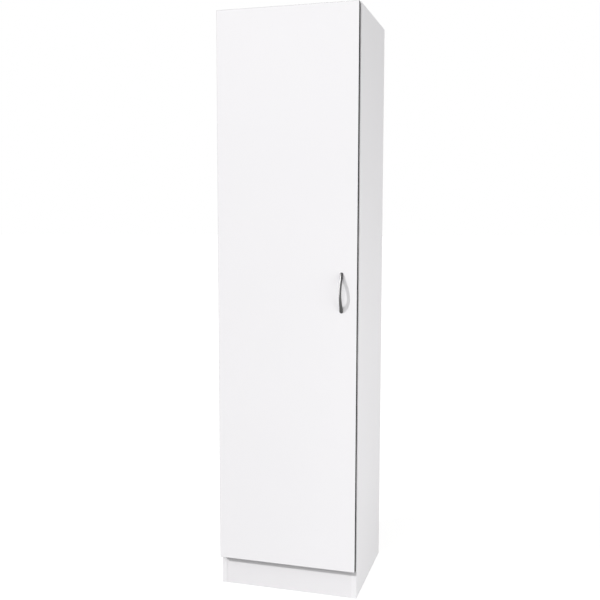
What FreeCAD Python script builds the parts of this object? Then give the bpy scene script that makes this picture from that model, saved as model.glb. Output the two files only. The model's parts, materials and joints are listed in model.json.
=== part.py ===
import FreeCAD, Part
import math
import os

# Broom cupboard: white board carcass, one overlay door on concealed cup hinges.
# Axes: X to the right, Y to the back, Z up. All lengths in mm.

# ---- driving dimensions ----
height = 1830.0
width = 450.0
depth = 400.0              # front of the door to the rear edges of the sides
board = 16.0
door_gap = 3.5             # closed door to the carcass front, bridged by the buffers
door_bottom = 93.0         # height of the door's lower edge above the floor
door_top_reveal = 1.0
door_hinge_reveal = 0.5
door_handle_reveal = 2.0
band = 0.4                 # door edge band thickness

plinth_height = 85.0
kick_setback = 0.5
shelf_setback = 20.0
fixed_shelf_z = 1466.0     # underside of the fixed shelf
loose_shelf_z = 1146.0     # underside of the adjustable shelf
loose_shelf_play = 1.0     # each end of the adjustable shelf
loose_shelf_back_gap = 2.0
wall_rail_height = 80.0

back_thick = 3.0
back_inset = 12.0          # rear edge of the sides to the back panels
back_tongue = 6.0          # back panels let into the sides
back_joint_z = 960.0
joiner_height = 16.0
joiner_wall = 0.9
joiner_web = 1.2

fitting_sides = 8          # small fittings and holes that stay out of sight are drawn with few sides
shown_sides = 10           # those in view get more
round_sides = 16           # and the hinge cups and buffers more again
overcut = 1.0              # how far a cutting tool runs past the face it opens
cam_radius = 7.5
cam_depth = 12.5
cam_setback = 34.0
cam_slot_long = 8.0
cam_slot_wide = 1.4
cam_slot_deep = 2.0
cam_edge_inset = 45.0      # along a board's end, from its front and rear edges
dowel_edge_inset = 77.0
bolt_grip = 10.0
bolt_thread_radius = 2.5
bolt_shaft_radius = 3.0
bolt_bore_radius = 4.0
dowel_radius = 4.0
dowel_in_side = 10.0
dowel_in_panel = 20.0

pin_hole_radius = 2.5
pin_hole_depth = 9.0
pin_pitch = 32.0
pin_rows = 5
pin_front_inset = 69.0     # rows of holes from the sides' front edges
pin_rear_inset = 64.0      # and from the back panel
pin_reach = 7.0
pin_collar = 0.8
pin_collar_radius = 3.6

hinge_count = 3
hinge_end_inset = 100.0    # outermost hinges to the door's ends
cup_radius = 17.5
cup_depth = 12.5
cup_wall = 0.8
cup_floor = 0.6
cup_edge = 3.5             # cup to the door's edge
cup_flange = 1.2
cup_rim = 1.5              # round rim outside the cup
cup_rim_cut = 2.0          # straight side of the rim, from the cup's edge
cup_wing_width = 13.0
cup_wing_length = 58.0
cup_wing_corner = 3.0
cheek_thick = 1.4          # cheeks that hold the pin, inside the cup
cheek_gap = 0.4            # cheek to arm
cheek_reach = 3.4          # beyond the pin, into the cup
cheek_rise = 3.0           # above the pin
knuckle_u = 8.2            # pivot from the door's hinge edge
knuckle_v = 9.3            # pivot behind the door's inner face, into the cup
knuckle_pin_radius = 1.25
knuckle_clearance = 0.05
knuckle_eye_radius = 2.3
arm_half_width = 5.2
arm_nose = 1.8
arm_bend = 2.0             # corners of the neck
arm_web = 2.4
arm_web_half_width = 8.0
arm_web_front = 2.0        # the following lengths run from the carcass front
arm_flange_front = 24.0
arm_length = 64.0
arm_flange = 1.8           # thickness of the channel's two flanges
arm_flange_lift = 1.0      # flange to the side panel
arm_screw_ys = (30.0, 54.0)
arm_screw_radius = 2.0
arm_screw_head_radius = 4.0
arm_screw_head = 2.2
plate_height = 4.4
plate_half_width = 5.8
plate_slot = 1.9
plate_overhang = 4.0       # plate beyond the arm's rear end
plate_wing = 2.5
plate_wing_width = 13.0
plate_wing_length = 48.0
plate_wing_corner = 4.0
plate_setback = 37.0
plate_screw_pitch = 32.0
plate_screw_radius = 2.5
plate_screw_length = 13.5
plate_screw_head_radius = 4.2
plate_screw_head = 1.8
cup_screw_pitch = 45.0
cup_screw_offset = 9.5
cup_screw_radius = 1.9
cup_screw_length = 12.0
cup_screw_head_radius = 3.6
cup_screw_head = 1.4

handle_centres = 96.0
handle_length = 125.0
handle_projection = 20.5
handle_inner_rise = 16.5
handle_inner_span = 88.0
handle_end_width = 12.0
handle_waist_width = 8.0
handle_edge_inset = 48.0   # handle axis from the door's free edge
handle_z = 969.0
handle_rim = 1.0           # broken edges round the bow's front
handle_tip = 4.5           # length of the rounded ends
handle_screw_radius = 2.0
handle_screw_wall = 1.9    # metal left in front of each screw
handle_screw_head_radius = 4.0
handle_screw_head = 2.2

buffer_radius = 5.0
buffer_gap = 0.1
buffer_bevel = 1.2
buffer_end_inset = 40.0    # from the door's ends
catch_z = 1290.0
catch_length = 46.0
catch_width = 13.0
catch_depth = 16.0
catch_setback = 1.0
catch_screw_pitch = 36.0
catch_screw_y = 9.0
catch_screw_radius = 1.8
catch_screw_bite = 12.0    # into the side panel
catch_screw_head_radius = 3.5
catch_screw_head = 1.8
magnet_length = 26.0
magnet_wall_left = 3.0
magnet_wall_right = 4.0
magnet_wall_rear = 4.0
strike_thick = 1.5
strike_length = 40.0
strike_overlap = 1.0       # past the catch on the room side
strike_right_inset = 1.5

wall_hole_radius = 3.0
wall_hole_spacing = 320.0

# ---- derived dimensions ----
carcass_depth = depth - board - door_gap
back_y = carcass_depth - back_inset - back_thick
door_back = -door_gap
door_front = -door_gap - board
door_left = door_hinge_reveal
door_right = width - door_handle_reveal
door_top = height - door_top_reveal
door_height = door_top - door_bottom
bottom_z = plinth_height
top_z = height - board
cup_u = cup_edge + cup_radius
cup_x = door_left + cup_u
knuckle_x = door_left + knuckle_u
knuckle_y = door_back - knuckle_v
plate_top = board + plate_height
arm_top = plate_top + arm_web
handle_x = door_right - handle_edge_inset
bow_radius = (handle_length ** 2 / 4 + handle_projection ** 2) / (2 * handle_projection)
handle_screw_far = handle_centres / 2 + handle_screw_radius
handle_foot_depth = math.sqrt(bow_radius ** 2 - handle_screw_far ** 2) - bow_radius + handle_projection
handle_screw_bite = handle_foot_depth - handle_screw_wall
hinge_low = door_bottom + hinge_end_inset
hinge_step = (door_height - 2 * hinge_end_inset) / (hinge_count - 1)
hinge_zs = [hinge_low + i * hinge_step for i in range(hinge_count)]
front_y = door_front - handle_projection
origin = FreeCAD.Vector(-width / 2, -(front_y + carcass_depth) / 2, 0)

X = FreeCAD.Vector(1, 0, 0)
Y = FreeCAD.Vector(0, 1, 0)
Z = FreeCAD.Vector(0, 0, 1)
nodes = {}


def V(x, y, z):
    return FreeCAD.Vector(x, y, z)


def box(x0, x1, y0, y1, z0, z1):
    return Part.makeBox(x1 - x0, y1 - y0, z1 - z0, V(x0, y0, z0))


def rod(radius, start, axis, length):
    return Part.makeCylinder(radius, length, start, axis)


def bar(radius, start, axis, length, sides=fitting_sides):
    """Small round fitting or its hole, drawn with few sides."""
    side = Z if abs(axis.z) < 0.5 else X
    other = axis.cross(side)
    turns = [2 * math.pi * k / sides for k in range(sides)]
    ring = [start + side * (radius * math.cos(t)) + other * (radius * math.sin(t)) for t in turns]
    return Part.Face(Part.makePolygon(ring + ring[:1])).extrude(axis * length)


def cut(shape, tools):
    return shape.cut(Part.Compound(tools)) if tools else shape


def placed(shape, point, x_axis, z_axis):
    """Copy a fitting drawn along X with its open face towards Z onto a joint."""
    y_axis = z_axis.cross(x_axis)
    turn = FreeCAD.Rotation(x_axis, y_axis, z_axis, "XYZ")
    copy = shape.copy()
    copy.Placement = FreeCAD.Placement(point, turn)
    return copy


def prism(points, base, height_z):
    wire = Part.makePolygon([V(x, y, base) for x, y in points + points[:1]])
    return Part.Face(wire).extrude(V(0, 0, height_z))


# ---- knock-down fittings, drawn once at a joint's own origin ----
def cam_bolt():
    thread = bar(bolt_thread_radius, V(-bolt_grip, 0, 0), X, bolt_grip)
    return thread.fuse(bar(bolt_shaft_radius, V(0, 0, 0), X, cam_setback))


def cam_lock():
    """Cam with the mouth that takes the bolt's head and a slot for the screwdriver."""
    top, grip = board / 2, bolt_shaft_radius
    half_long, half_wide = cam_slot_long / 2, cam_slot_wide / 2
    body = bar(cam_radius, V(cam_setback, 0, top - cam_depth), Z, cam_depth, shown_sides)
    mouth = box(cam_setback - cam_radius - overcut, cam_setback, -grip, grip, -grip, grip)
    slot = box(cam_setback - half_wide, cam_setback + half_wide, -half_long, half_long,
               top - cam_slot_deep, top + overcut)
    return cut(body, [mouth, slot])


def cam_recess():
    bore = bar(bolt_bore_radius, V(0, 0, 0), X, cam_setback)
    bottom = V(cam_setback, 0, board / 2 - cam_depth)
    return bore.fuse(bar(cam_radius, bottom, Z, cam_depth + overcut, shown_sides))


def dowel():
    return bar(dowel_radius, V(-dowel_in_side, 0, 0), X, dowel_in_side + dowel_in_panel)


cams, bolts, dowels = [], [], []


def join_board(shape, spots, face):
    """Fit cams at one set of (y, z) spots and dowels at another, both ends of a board."""
    cam_spots, dowel_spots = spots
    tools, side_tools = [], {0: [], 1: []}
    for end, x, into in ((0, board, X), (1, width - board, -X)):
        for y, z in cam_spots:
            at = V(x, y, z)
            bolts.append(placed(cam_bolt(), at, into, face))
            cams.append(placed(cam_lock(), at, into, face))
            tools.append(placed(cam_recess(), at, into, face))
            side_tools[end].append(bar(bolt_thread_radius, at, -into, bolt_grip))
        for y, z in dowel_spots:
            at = V(x, y, z)
            dowels.append(placed(dowel(), at, into, face))
            tools.append(bar(dowel_radius, at, into, dowel_in_panel))
            side_tools[end].append(bar(dowel_radius, at, -into, dowel_in_side))
    return cut(shape, tools), side_tools


def slab(y0, y1, z0, z1):
    return box(board, width - board, y0, y1, z0, z1)


def flat_spots(y0, y1, z):
    mid = z + board / 2
    cam = [(y0 + cam_edge_inset, mid), (y1 - cam_edge_inset, mid)]
    peg = [(y0 + dowel_edge_inset, mid), (y1 - dowel_edge_inset, mid)]
    return cam, peg


def upright_spots(y, z0, z1):
    third = (z1 - z0) / 3
    return [(y + board / 2, z0 + third)], [(y + board / 2, z1 - third)]


# ---- horizontal and cross boards ----
boards = {}
boards["top_panel"] = (slab(0, back_y, top_z, height), flat_spots(0, back_y, top_z), -Z)
boards["bottom_panel"] = (slab(0, back_y, bottom_z, bottom_z + board), flat_spots(0, back_y, bottom_z), -Z)
boards["fixed_shelf"] = (
    slab(shelf_setback, back_y, fixed_shelf_z, fixed_shelf_z + board),
    flat_spots(shelf_setback, back_y, fixed_shelf_z), -Z)
boards["kick_board"] = (
    slab(kick_setback, kick_setback + board, 0, plinth_height),
    upright_spots(kick_setback, 0, plinth_height), Y)
boards["plinth_rear_rail"] = (
    slab(back_y - board, back_y, 0, plinth_height),
    upright_spots(back_y - board, 0, plinth_height), -Y)
boards["wall_rail"] = (
    slab(back_y - board, back_y, top_z - wall_rail_height, top_z),
    upright_spots(back_y - board, top_z - wall_rail_height, top_z), -Y)

side_cuts = {0: [], 1: []}
for name, (shape, spots, face) in boards.items():
    nodes[name], ends = join_board(shape, spots, face)
    for end in side_cuts:
        side_cuts[end] += ends[end]
nodes["cam_locks"] = cams
nodes["cam_bolts"] = bolts
nodes["wood_dowels"] = dowels

wall_holes = [
    rod(wall_hole_radius, V(width / 2 + s * wall_hole_spacing / 2, back_y - board - overcut,
                            top_z - wall_rail_height / 2), Y, board + back_thick + 2 * overcut)
    for s in (-1, 1)]
nodes["wall_rail"] = cut(nodes["wall_rail"], wall_holes)

# ---- adjustable shelf and its pins ----
nodes["loose_shelf"] = box(
    board + loose_shelf_play, width - board - loose_shelf_play, shelf_setback, back_y - loose_shelf_back_gap,
    loose_shelf_z, loose_shelf_z + board)
pin_axis_z = loose_shelf_z - pin_hole_radius


def shelf_pin(at, into):
    """Pin half in the side panel, with a collar that seats on it beside the shelf's end."""
    pin = bar(pin_hole_radius, at - into * pin_hole_depth, into, pin_hole_depth + pin_reach)
    return pin.fuse(bar(pin_collar_radius, at, into, pin_collar, shown_sides))


shelf_pins = []
for end, x, into in ((0, board, X), (1, width - board, -X)):
    for y in (pin_front_inset, back_y - pin_rear_inset):
        shelf_pins.append(shelf_pin(V(x, y, pin_axis_z), into))
        for k in range(pin_rows):
            at = V(x, y, pin_axis_z + (k - pin_rows // 2) * pin_pitch)
            side_cuts[end].append(bar(pin_hole_radius, at, -into, pin_hole_depth))
nodes["shelf_pins"] = shelf_pins


# ---- concealed hinges ----
def cut_corners(plate, normal, size):
    """Cut the four corners of a flat plate."""
    corners = [e for e in plate.Edges if abs(e.tangentAt(e.FirstParameter).dot(normal)) > 0.9]
    return plate.makeChamfer(size, corners)


def hinge_cup(z):
    """Pressed cup with a winged flange and two cheeks that hold the pivot pin."""
    mouth = V(cup_x, door_back, z)
    outer = bar(cup_radius, mouth, -Y, cup_depth, round_sides)
    inner_depth = cup_depth - cup_floor + cup_flange + overcut
    inner = bar(cup_radius - cup_wall, mouth + Y * (cup_flange + overcut), -Y, inner_depth, round_sides)
    wing_x = cup_x + cup_screw_offset
    half_wide, half_long = cup_wing_width / 2, cup_wing_length / 2
    wing = box(wing_x - half_wide, wing_x + half_wide, door_back, door_back + cup_flange,
               z - half_long, z + half_long)
    wing = cut_corners(wing, Y, cup_wing_corner)
    rim = bar(cup_radius + cup_rim, mouth, Y, cup_flange, round_sides)
    rim_left = door_left + cup_edge + cup_rim_cut
    rim = rim.common(box(rim_left, width, door_back, 0, z - half_long, z + half_long))
    body = outer.fuse([rim, wing]).cut(inner)
    left = cup_x - cup_radius + cup_wall / 2
    floor_y = door_back - cup_depth + cup_floor / 2
    near = arm_half_width + cheek_gap
    well = bar(cup_radius - cup_wall / 4, mouth, -Y, cup_depth, round_sides)
    for z0 in (z - near - cheek_thick, z + near):
        cheek = box(left, knuckle_x + cheek_reach, floor_y, knuckle_y + cheek_rise, z0, z0 + cheek_thick)
        body = body.fuse(cheek.common(well))
    holes = [bar(cup_screw_radius, V(wing_x, door_back, z + s * cup_screw_pitch / 2), Y, cup_flange + overcut)
             for s in (-1, 1)]
    return cut(body, [hinge_pin(z)] + holes).removeSplitter()


def hinge_pin(z):
    reach = arm_half_width + cheek_gap + cheek_thick
    return rod(knuckle_pin_radius, V(knuckle_x, knuckle_y, z - reach), Z, 2 * reach)


def hinge_arm(z):
    """Swan-necked arm: eye on the pin, nose through the cup's mouth, channel over the plate."""
    base, tall = z - arm_half_width, 2 * arm_half_width
    low, high = knuckle_y - arm_nose / 2, knuckle_y + arm_nose / 2
    heel = arm_web_front + overcut
    neck = [(knuckle_x, low), (arm_top - arm_bend, low), (arm_top, low + arm_bend), (arm_top, heel),
            (plate_top, heel), (plate_top, high + arm_bend), (plate_top - arm_bend, high), (knuckle_x, high)]
    body = prism(neck, base, tall)
    eye = bar(knuckle_eye_radius, V(knuckle_x, knuckle_y, base), Z, tall, shown_sides)
    web = box(plate_top, arm_top, arm_web_front, arm_length, z - arm_web_half_width, z + arm_web_half_width)
    inner = arm_web_half_width - arm_flange
    flanges = [box(board + arm_flange_lift, arm_top, arm_flange_front, arm_length, z0, z0 + arm_flange)
               for z0 in (z - arm_web_half_width, z + inner)]
    body = body.fuse([eye, web] + flanges)
    bore = knuckle_pin_radius + knuckle_clearance
    pivot = rod(bore, V(knuckle_x, knuckle_y, base - overcut), Z, tall + 2 * overcut)
    holes = [bar(arm_screw_radius, V(plate_top - overcut, y, z), X, arm_web + 2 * overcut)
             for y in arm_screw_ys]
    return cut(body, [pivot] + holes).removeSplitter()


def hinge_plate(z):
    """Mounting plate between the arm's flanges, with a wing for its two screws."""
    rear = arm_length + plate_overhang
    half_wide, half_long = plate_wing_width / 2, plate_wing_length / 2
    body = box(board, plate_top, arm_flange_front, rear, z - plate_half_width, z + plate_half_width)
    wing = box(board, board + plate_wing, plate_setback - half_wide, plate_setback + half_wide,
               z - half_long, z + half_long)
    wing = cut_corners(wing, X, plate_wing_corner)
    middle = arm_web_half_width - arm_flange / 2
    slots = [box(board + arm_flange_lift, plate_top + overcut, arm_flange_front - overcut, rear + overcut,
                 z + s * middle - plate_slot / 2, z + s * middle + plate_slot / 2) for s in (-1, 1)]
    holes = [bar(plate_screw_radius, V(board, plate_setback, z + s * plate_screw_pitch / 2), X, plate_wing)
             for s in (-1, 1)]
    holes += [bar(arm_screw_radius, V(board + arm_flange_lift, y, z), X, plate_height) for y in arm_screw_ys]
    return cut(body.fuse(wing), slots + holes).removeSplitter()


def pan_screw(at, axis, shank_radius, shank, head_radius, head):
    """Screw with its head's seat at the given point; the shank runs along the axis."""
    screw = bar(shank_radius, at, axis, shank)
    return screw.fuse(bar(head_radius, at - axis * head, axis, head, shown_sides))


hinge_cups, hinge_pins, hinge_arms, hinge_plates = [], [], [], []
plate_screws, arm_screws, cup_screws, door_cuts = [], [], [], []
for z in hinge_zs:
    hinge_cups.append(hinge_cup(z))
    hinge_pins.append(hinge_pin(z))
    hinge_arms.append(hinge_arm(z))
    hinge_plates.append(hinge_plate(z))
    door_cuts.append(bar(cup_radius, V(cup_x, door_back, z), -Y, cup_depth, round_sides))
    for s in (-1, 1):
        seat = V(board + plate_wing, plate_setback, z + s * plate_screw_pitch / 2)
        plate_screws.append(pan_screw(
            seat, -X, plate_screw_radius, plate_screw_length, plate_screw_head_radius, plate_screw_head))
        in_side = plate_screw_length - plate_wing
        side_cuts[0].append(bar(plate_screw_radius, V(board, seat.y, seat.z), -X, in_side))
        seat = V(cup_x + cup_screw_offset, door_back + cup_flange, z + s * cup_screw_pitch / 2)
        cup_screws.append(pan_screw(
            seat, -Y, cup_screw_radius, cup_screw_length, cup_screw_head_radius, cup_screw_head))
        in_door = cup_screw_length - cup_flange
        door_cuts.append(bar(cup_screw_radius, V(seat.x, door_back, seat.z), -Y, in_door))
    for y in arm_screw_ys:
        in_plate = plate_height - arm_flange_lift
        arm_screws.append(pan_screw(
            V(arm_top, y, z), -X, arm_screw_radius, arm_web + in_plate,
            arm_screw_head_radius, arm_screw_head))
nodes["hinge_cups"] = hinge_cups
nodes["hinge_pins"] = hinge_pins
nodes["hinge_arms"] = hinge_arms
nodes["hinge_plates"] = hinge_plates
nodes["plate_screws"] = plate_screws
nodes["arm_screws"] = arm_screws
nodes["cup_screws"] = cup_screws

# ---- back panels and the strip that joins them ----
back_left, back_right = board - back_tongue, width - board + back_tongue
web_low, web_high = back_joint_z - joiner_web / 2, back_joint_z + joiner_web / 2
back_rear = back_y + back_thick


def back_sheet(x0, x1, z0, z1):
    return box(x0, x1, back_y, back_rear, z0, z1)


nodes["back_panel_lower"] = back_sheet(back_left, back_right, bottom_z, web_low)
nodes["back_panel_upper"] = cut(back_sheet(back_left, back_right, web_high, height), wall_holes)
joiner_low, joiner_high = back_joint_z - joiner_height / 2, back_joint_z + joiner_height / 2
strip = slab(back_y - joiner_wall, back_rear + joiner_wall, joiner_low, joiner_high)
slots = [back_sheet(0, width, joiner_low - overcut, web_low),
         back_sheet(0, width, web_high, joiner_high + overcut)]
nodes["back_joiner"] = cut(strip, slots)

# ---- sides, grooved for the back panels ----
for end, name, x0, groove in ((0, "side_panel_left", 0.0, (back_left, board)),
                              (1, "side_panel_right", width - board, (width - board, back_right))):
    side = box(x0, x0 + board, 0, carcass_depth, 0, height)
    nodes[name] = cut(side, side_cuts[end] + [back_sheet(*groove, bottom_z, height + overcut)])


# ---- door with its edge bands ----
def handle_outline(face):
    """Front outline of the bow, narrow in the middle."""
    half, end, waist = handle_length / 2, handle_end_width / 2, handle_waist_width / 2
    straight = half - handle_tip
    y = face - handle_projection - overcut
    corner = {(sx, sz): V(handle_x + sx * end, y, handle_z + sz * straight)
              for sx in (-1, 1) for sz in (-1, 1)}
    right = Part.Arc(corner[1, -1], V(handle_x + waist, y, handle_z), corner[1, 1])
    left = Part.Arc(corner[-1, 1], V(handle_x - waist, y, handle_z), corner[-1, -1])
    top = Part.Arc(corner[1, 1], V(handle_x, y, handle_z + half), corner[-1, 1])
    low = Part.Arc(corner[-1, -1], V(handle_x, y, handle_z - half), corner[1, -1])
    outline = Part.Wire([arc.toShape() for arc in (right, top, left, low)])
    return Part.Face(outline).extrude(Y * (handle_projection + 2 * overcut))


def door_handle():
    """Bow handle: a side profile crossed with a waisted front outline."""
    half, inner, face = handle_length / 2, handle_inner_span / 2, door_front
    left = handle_x - handle_end_width
    ends = [V(left, face, handle_z + z) for z in (-half, half, inner, -inner)]
    outer_arc = Part.Arc(ends[0], V(left, face - handle_projection, handle_z), ends[1]).toShape()
    inner_arc = Part.Arc(ends[2], V(left, face - handle_inner_rise, handle_z), ends[3]).toShape()
    feet = [Part.makeLine(ends[1], ends[2]), Part.makeLine(ends[3], ends[0])]
    profile = Part.Wire([outer_arc, feet[0], inner_arc, feet[1]])
    bow = Part.Face(profile).extrude(X * (2 * handle_end_width))
    body = bow.common(handle_outline(face))
    front = face - handle_projection + handle_rim * 2
    rims = [e for e in body.Edges if e.Length > handle_centres and e.BoundBox.YMin < front]
    body = body.makeChamfer(handle_rim, rims)
    holes = [bar(handle_screw_radius, V(handle_x, face, z), -Y, handle_screw_bite) for z in handle_screw_zs]
    return cut(body, holes)


handle_screw_zs = (handle_z - handle_centres / 2, handle_z + handle_centres / 2)
handle_screws = []
for z in handle_screw_zs:
    at = V(handle_x, door_back, z)
    handle_screws.append(pan_screw(
        at, -Y, handle_screw_radius, board + handle_screw_bite, handle_screw_head_radius, handle_screw_head))
    door_cuts.append(bar(handle_screw_radius, at, -Y, board))


def door_slab(x0, x1, z0, z1):
    return box(x0, x1, door_front, door_back, z0, z1)


inner_left, inner_right = door_left + band, door_right - band
inner_low, inner_top = door_bottom + band, door_top - band
nodes["door_panel"] = cut(door_slab(inner_left, inner_right, inner_low, inner_top), door_cuts)
nodes["door_band_hinge_side"] = door_slab(door_left, inner_left, door_bottom, door_top)
nodes["door_band_handle_side"] = door_slab(inner_right, door_right, door_bottom, door_top)
nodes["door_band_top"] = door_slab(inner_left, inner_right, inner_top, door_top)
nodes["door_band_bottom"] = door_slab(inner_left, inner_right, door_bottom, inner_low)
nodes["door_handle"] = door_handle()
nodes["handle_screws"] = handle_screws

# ---- buffers and magnetic catch ----
buffer_x = width - board / 2


def door_buffer(z):
    """Soft stop on the door, bevelled where it meets the side panel."""
    thick = door_gap - buffer_gap
    body = bar(buffer_radius, V(buffer_x, door_back, z), Y, thick, round_sides)
    rim = [e for e in body.Edges if e.BoundBox.YMin > door_back + thick / 2]
    return body.makeChamfer(buffer_bevel, rim)


buffer_zs = (door_bottom + buffer_end_inset, door_top - buffer_end_inset)
nodes["door_buffers"] = [door_buffer(z) for z in buffer_zs]
catch_right = width - board
catch_left = catch_right - catch_width
catch_rear = catch_setback + catch_depth
magnet_y = door_back + strike_thick + buffer_gap


def tall_box(x0, x1, y0, y1, length):
    return box(x0, x1, y0, y1, catch_z - length / 2, catch_z + length / 2)


catch_spots = [V(catch_left, catch_screw_y, catch_z + s * catch_screw_pitch / 2) for s in (-1, 1)]
shell = tall_box(catch_left, catch_right, catch_setback, catch_rear, catch_length)
magnet = tall_box(catch_left + magnet_wall_left, catch_right - magnet_wall_right,
                  magnet_y, catch_rear - magnet_wall_rear, magnet_length)
holes = [bar(catch_screw_radius, at, X, catch_width + catch_screw_bite) for at in catch_spots]
nodes["catch_body"] = cut(shell, [magnet] + holes)
nodes["catch_magnet"] = magnet
nodes["catch_screws"] = [
    pan_screw(at, X, catch_screw_radius, catch_width + catch_screw_bite,
              catch_screw_head_radius, catch_screw_head)
    for at in catch_spots]
nodes["side_panel_right"] = cut(nodes["side_panel_right"], holes)
nodes["strike_plate"] = tall_box(catch_left - strike_overlap, catch_right - strike_right_inset,
                                 door_back, door_back + strike_thick, strike_length)

# ---- export, with the origin under the middle of the whole cupboard ----
os.makedirs("parts", exist_ok=True)
for name, shape in nodes.items():
    whole = Part.Compound(shape) if isinstance(shape, list) else shape
    whole.translate(origin)
    whole.exportStep("parts/" + name + ".step")
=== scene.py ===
import json
import math

import bmesh
import bpy
from mathutils import Matrix, Vector
from mathutils.geometry import tessellate_polygon

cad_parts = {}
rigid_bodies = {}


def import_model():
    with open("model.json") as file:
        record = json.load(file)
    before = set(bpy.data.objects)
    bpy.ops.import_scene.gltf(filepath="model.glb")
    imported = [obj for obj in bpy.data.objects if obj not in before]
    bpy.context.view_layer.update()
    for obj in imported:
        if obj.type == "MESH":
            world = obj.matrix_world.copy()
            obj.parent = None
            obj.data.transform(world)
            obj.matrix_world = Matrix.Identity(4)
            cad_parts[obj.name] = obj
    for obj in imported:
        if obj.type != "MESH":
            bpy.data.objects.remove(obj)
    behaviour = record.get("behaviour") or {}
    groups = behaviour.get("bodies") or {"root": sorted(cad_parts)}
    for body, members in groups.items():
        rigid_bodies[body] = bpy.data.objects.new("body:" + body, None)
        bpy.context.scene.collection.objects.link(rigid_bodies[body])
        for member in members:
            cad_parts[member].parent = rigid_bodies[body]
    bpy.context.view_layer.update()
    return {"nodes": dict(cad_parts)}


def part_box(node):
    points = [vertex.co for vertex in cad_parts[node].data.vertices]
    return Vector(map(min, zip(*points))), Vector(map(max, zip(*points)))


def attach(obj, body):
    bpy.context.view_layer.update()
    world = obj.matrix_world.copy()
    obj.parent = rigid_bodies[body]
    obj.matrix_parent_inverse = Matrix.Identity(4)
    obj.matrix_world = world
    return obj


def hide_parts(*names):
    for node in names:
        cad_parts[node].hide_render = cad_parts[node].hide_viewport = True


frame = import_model()
NODES = frame["nodes"]

MM = 0.001
AXES = {"x": 0, "y": 1, "z": 2}
DIRECTIONS = {"+x": (1, 0, 0), "-x": (-1, 0, 0), "+y": (0, 1, 0), "-y": (0, -1, 0), "-z": (0, 0, -1)}
WELD = 0.001 * MM          # points nearer than this are one


# ---------------------------------------------------------------- node trees
# sockets that share their names with others on their nodes
MIX_FACTOR, MIX_LOW, MIX_HIGH, MIX_RESULT = 0, 6, 7, 2
RANDOM_LOW, RANDOM_HIGH, RANDOM_RESULT = 2, 3, 1


class Wire:
    """A socket that takes part in sums, and the way to any other node of its tree."""

    def __init__(self, tree, socket=None):
        self.tree = tree
        self.socket = socket

    def node(self, kind, settings=None, values=None, out=0):
        """Add a node: first its settings or a ramp's stops, then its sockets' values and links."""
        made = self.tree.nodes.new(kind)
        for key, value in (settings or {}).items():
            if key == "stops":
                set_stops(made.color_ramp.elements, value)
            else:
                setattr(made, key, value)
        for key, value in (values or {}).items():
            socket = made.inputs[key]
            if not isinstance(value, (Wire, list)):
                socket.default_value = value
                continue
            for wire in value if isinstance(value, list) else [value]:
                self.tree.links.new(wire.socket, socket)
        return Wire(self.tree, made.outputs[out])

    def math(self, operation, first, second):
        return self.node("ShaderNodeMath", {"operation": operation}, {0: first, 1: second})

    def __add__(self, other):
        return self.math("ADD", self, other)

    def __radd__(self, other):
        return self.math("ADD", other, self)

    def __sub__(self, other):
        return self.math("SUBTRACT", self, other)

    def __rsub__(self, other):
        return self.math("SUBTRACT", other, self)

    def __neg__(self):
        return 0.0 - self

    def __mul__(self, other):
        return self.math("MULTIPLY", self, other)

    def __rmul__(self, other):
        return self.math("MULTIPLY", other, self)

    def __pow__(self, other):
        return self.math("POWER", self, other)

    def __gt__(self, other):
        return self.math("GREATER_THAN", self, other)

    def __lt__(self, other):
        return self.math("LESS_THAN", self, other)

    def capped(self):
        return self.math("MINIMUM", self, 1.0)


def set_stops(elements, stops):
    """Give a ramp its (position, colour) stops: its two ends first, then those between."""
    for index, (position, colour) in enumerate(stops):
        stop = elements[index] if index < 2 else elements.new(position)
        stop.position = position
        stop.color = rgba(colour)


def rgba(colour):
    return colour if isinstance(colour, Wire) else (*colour, 1.0)


def tones(colour, shares):
    """The colour once for each share of it, made darker or lighter."""
    return [tuple(min(1.0, part * share) for part in colour) for share in shares]


def new_material(name):
    """A material with its surface shader, the tree's starting wire and Object coordinates."""
    material = bpy.data.materials.new(name)
    material.use_nodes = True
    tree = material.node_tree
    shader = next(node for node in tree.nodes if node.type == "BSDF_PRINCIPLED")
    start = Wire(tree)
    place = start.node("ShaderNodeTexCoord", out="Object")
    return material, shader, start, place


def feed(wire, shader, socket):
    wire.tree.links.new(wire.socket, shader.inputs[socket])


def mixed(start, factor, low, high):
    """Colour between two others."""
    return start.node("ShaderNodeMix", {"data_type": "RGBA"},
                      {MIX_FACTOR: factor, MIX_LOW: rgba(low), MIX_HIGH: rgba(high)}, out=MIX_RESULT)


def part_of(start, place, axis):
    """One coordinate of a place."""
    return start.node("ShaderNodeSeparateXYZ", None, {0: place}, out=axis)


def stretched(start, place, scale):
    return start.node("ShaderNodeMapping", None, {"Vector": place, "Scale": scale})


def noise(start, place, scale, detail=3.0, rough=0.5):
    return start.node("ShaderNodeTexNoise", None,
                      {"Vector": place, "Scale": scale, "Detail": detail, "Roughness": rough})


def bands(start, place, direction, scale):
    return start.node("ShaderNodeTexWave", {"bands_direction": direction},
                      {"Vector": place, "Scale": scale})


def ramp(start, factor, stops):
    return start.node("ShaderNodeValToRGB", {"stops": stops}, {0: factor})


def bump(start, shader, height, strength, distance):
    normal = start.node("ShaderNodeBump", None,
                        {"Strength": strength, "Distance": distance, "Height": height})
    feed(normal, shader, "Normal")


# ---------------------------------------------------------------- materials
# Tones are the darkest and lightest share of a finish's own colour.
WHITE = (0.878, 0.868, 0.884)
# Painted shade: the kick board's white is the boards' white made darker, so that the low board and the
# door's shadow band on it render darker.
KICK_WHITE_SHADED = (0.848, 0.836, 0.852)
FOIL_TONES = (0.988, 1.010)
FOIL_ROUGH = 0.36
FOIL_GRAIN = 0.16          # height of the foil's grain, as a share of the chipboard's
FOIL_SPECULAR = 0.42
FACE_FOIL = 0.25 * MM      # depth of the white layer on a board's faces
EDGE_FOIL = 0.4 * MM       # and on its banded edges

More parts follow.
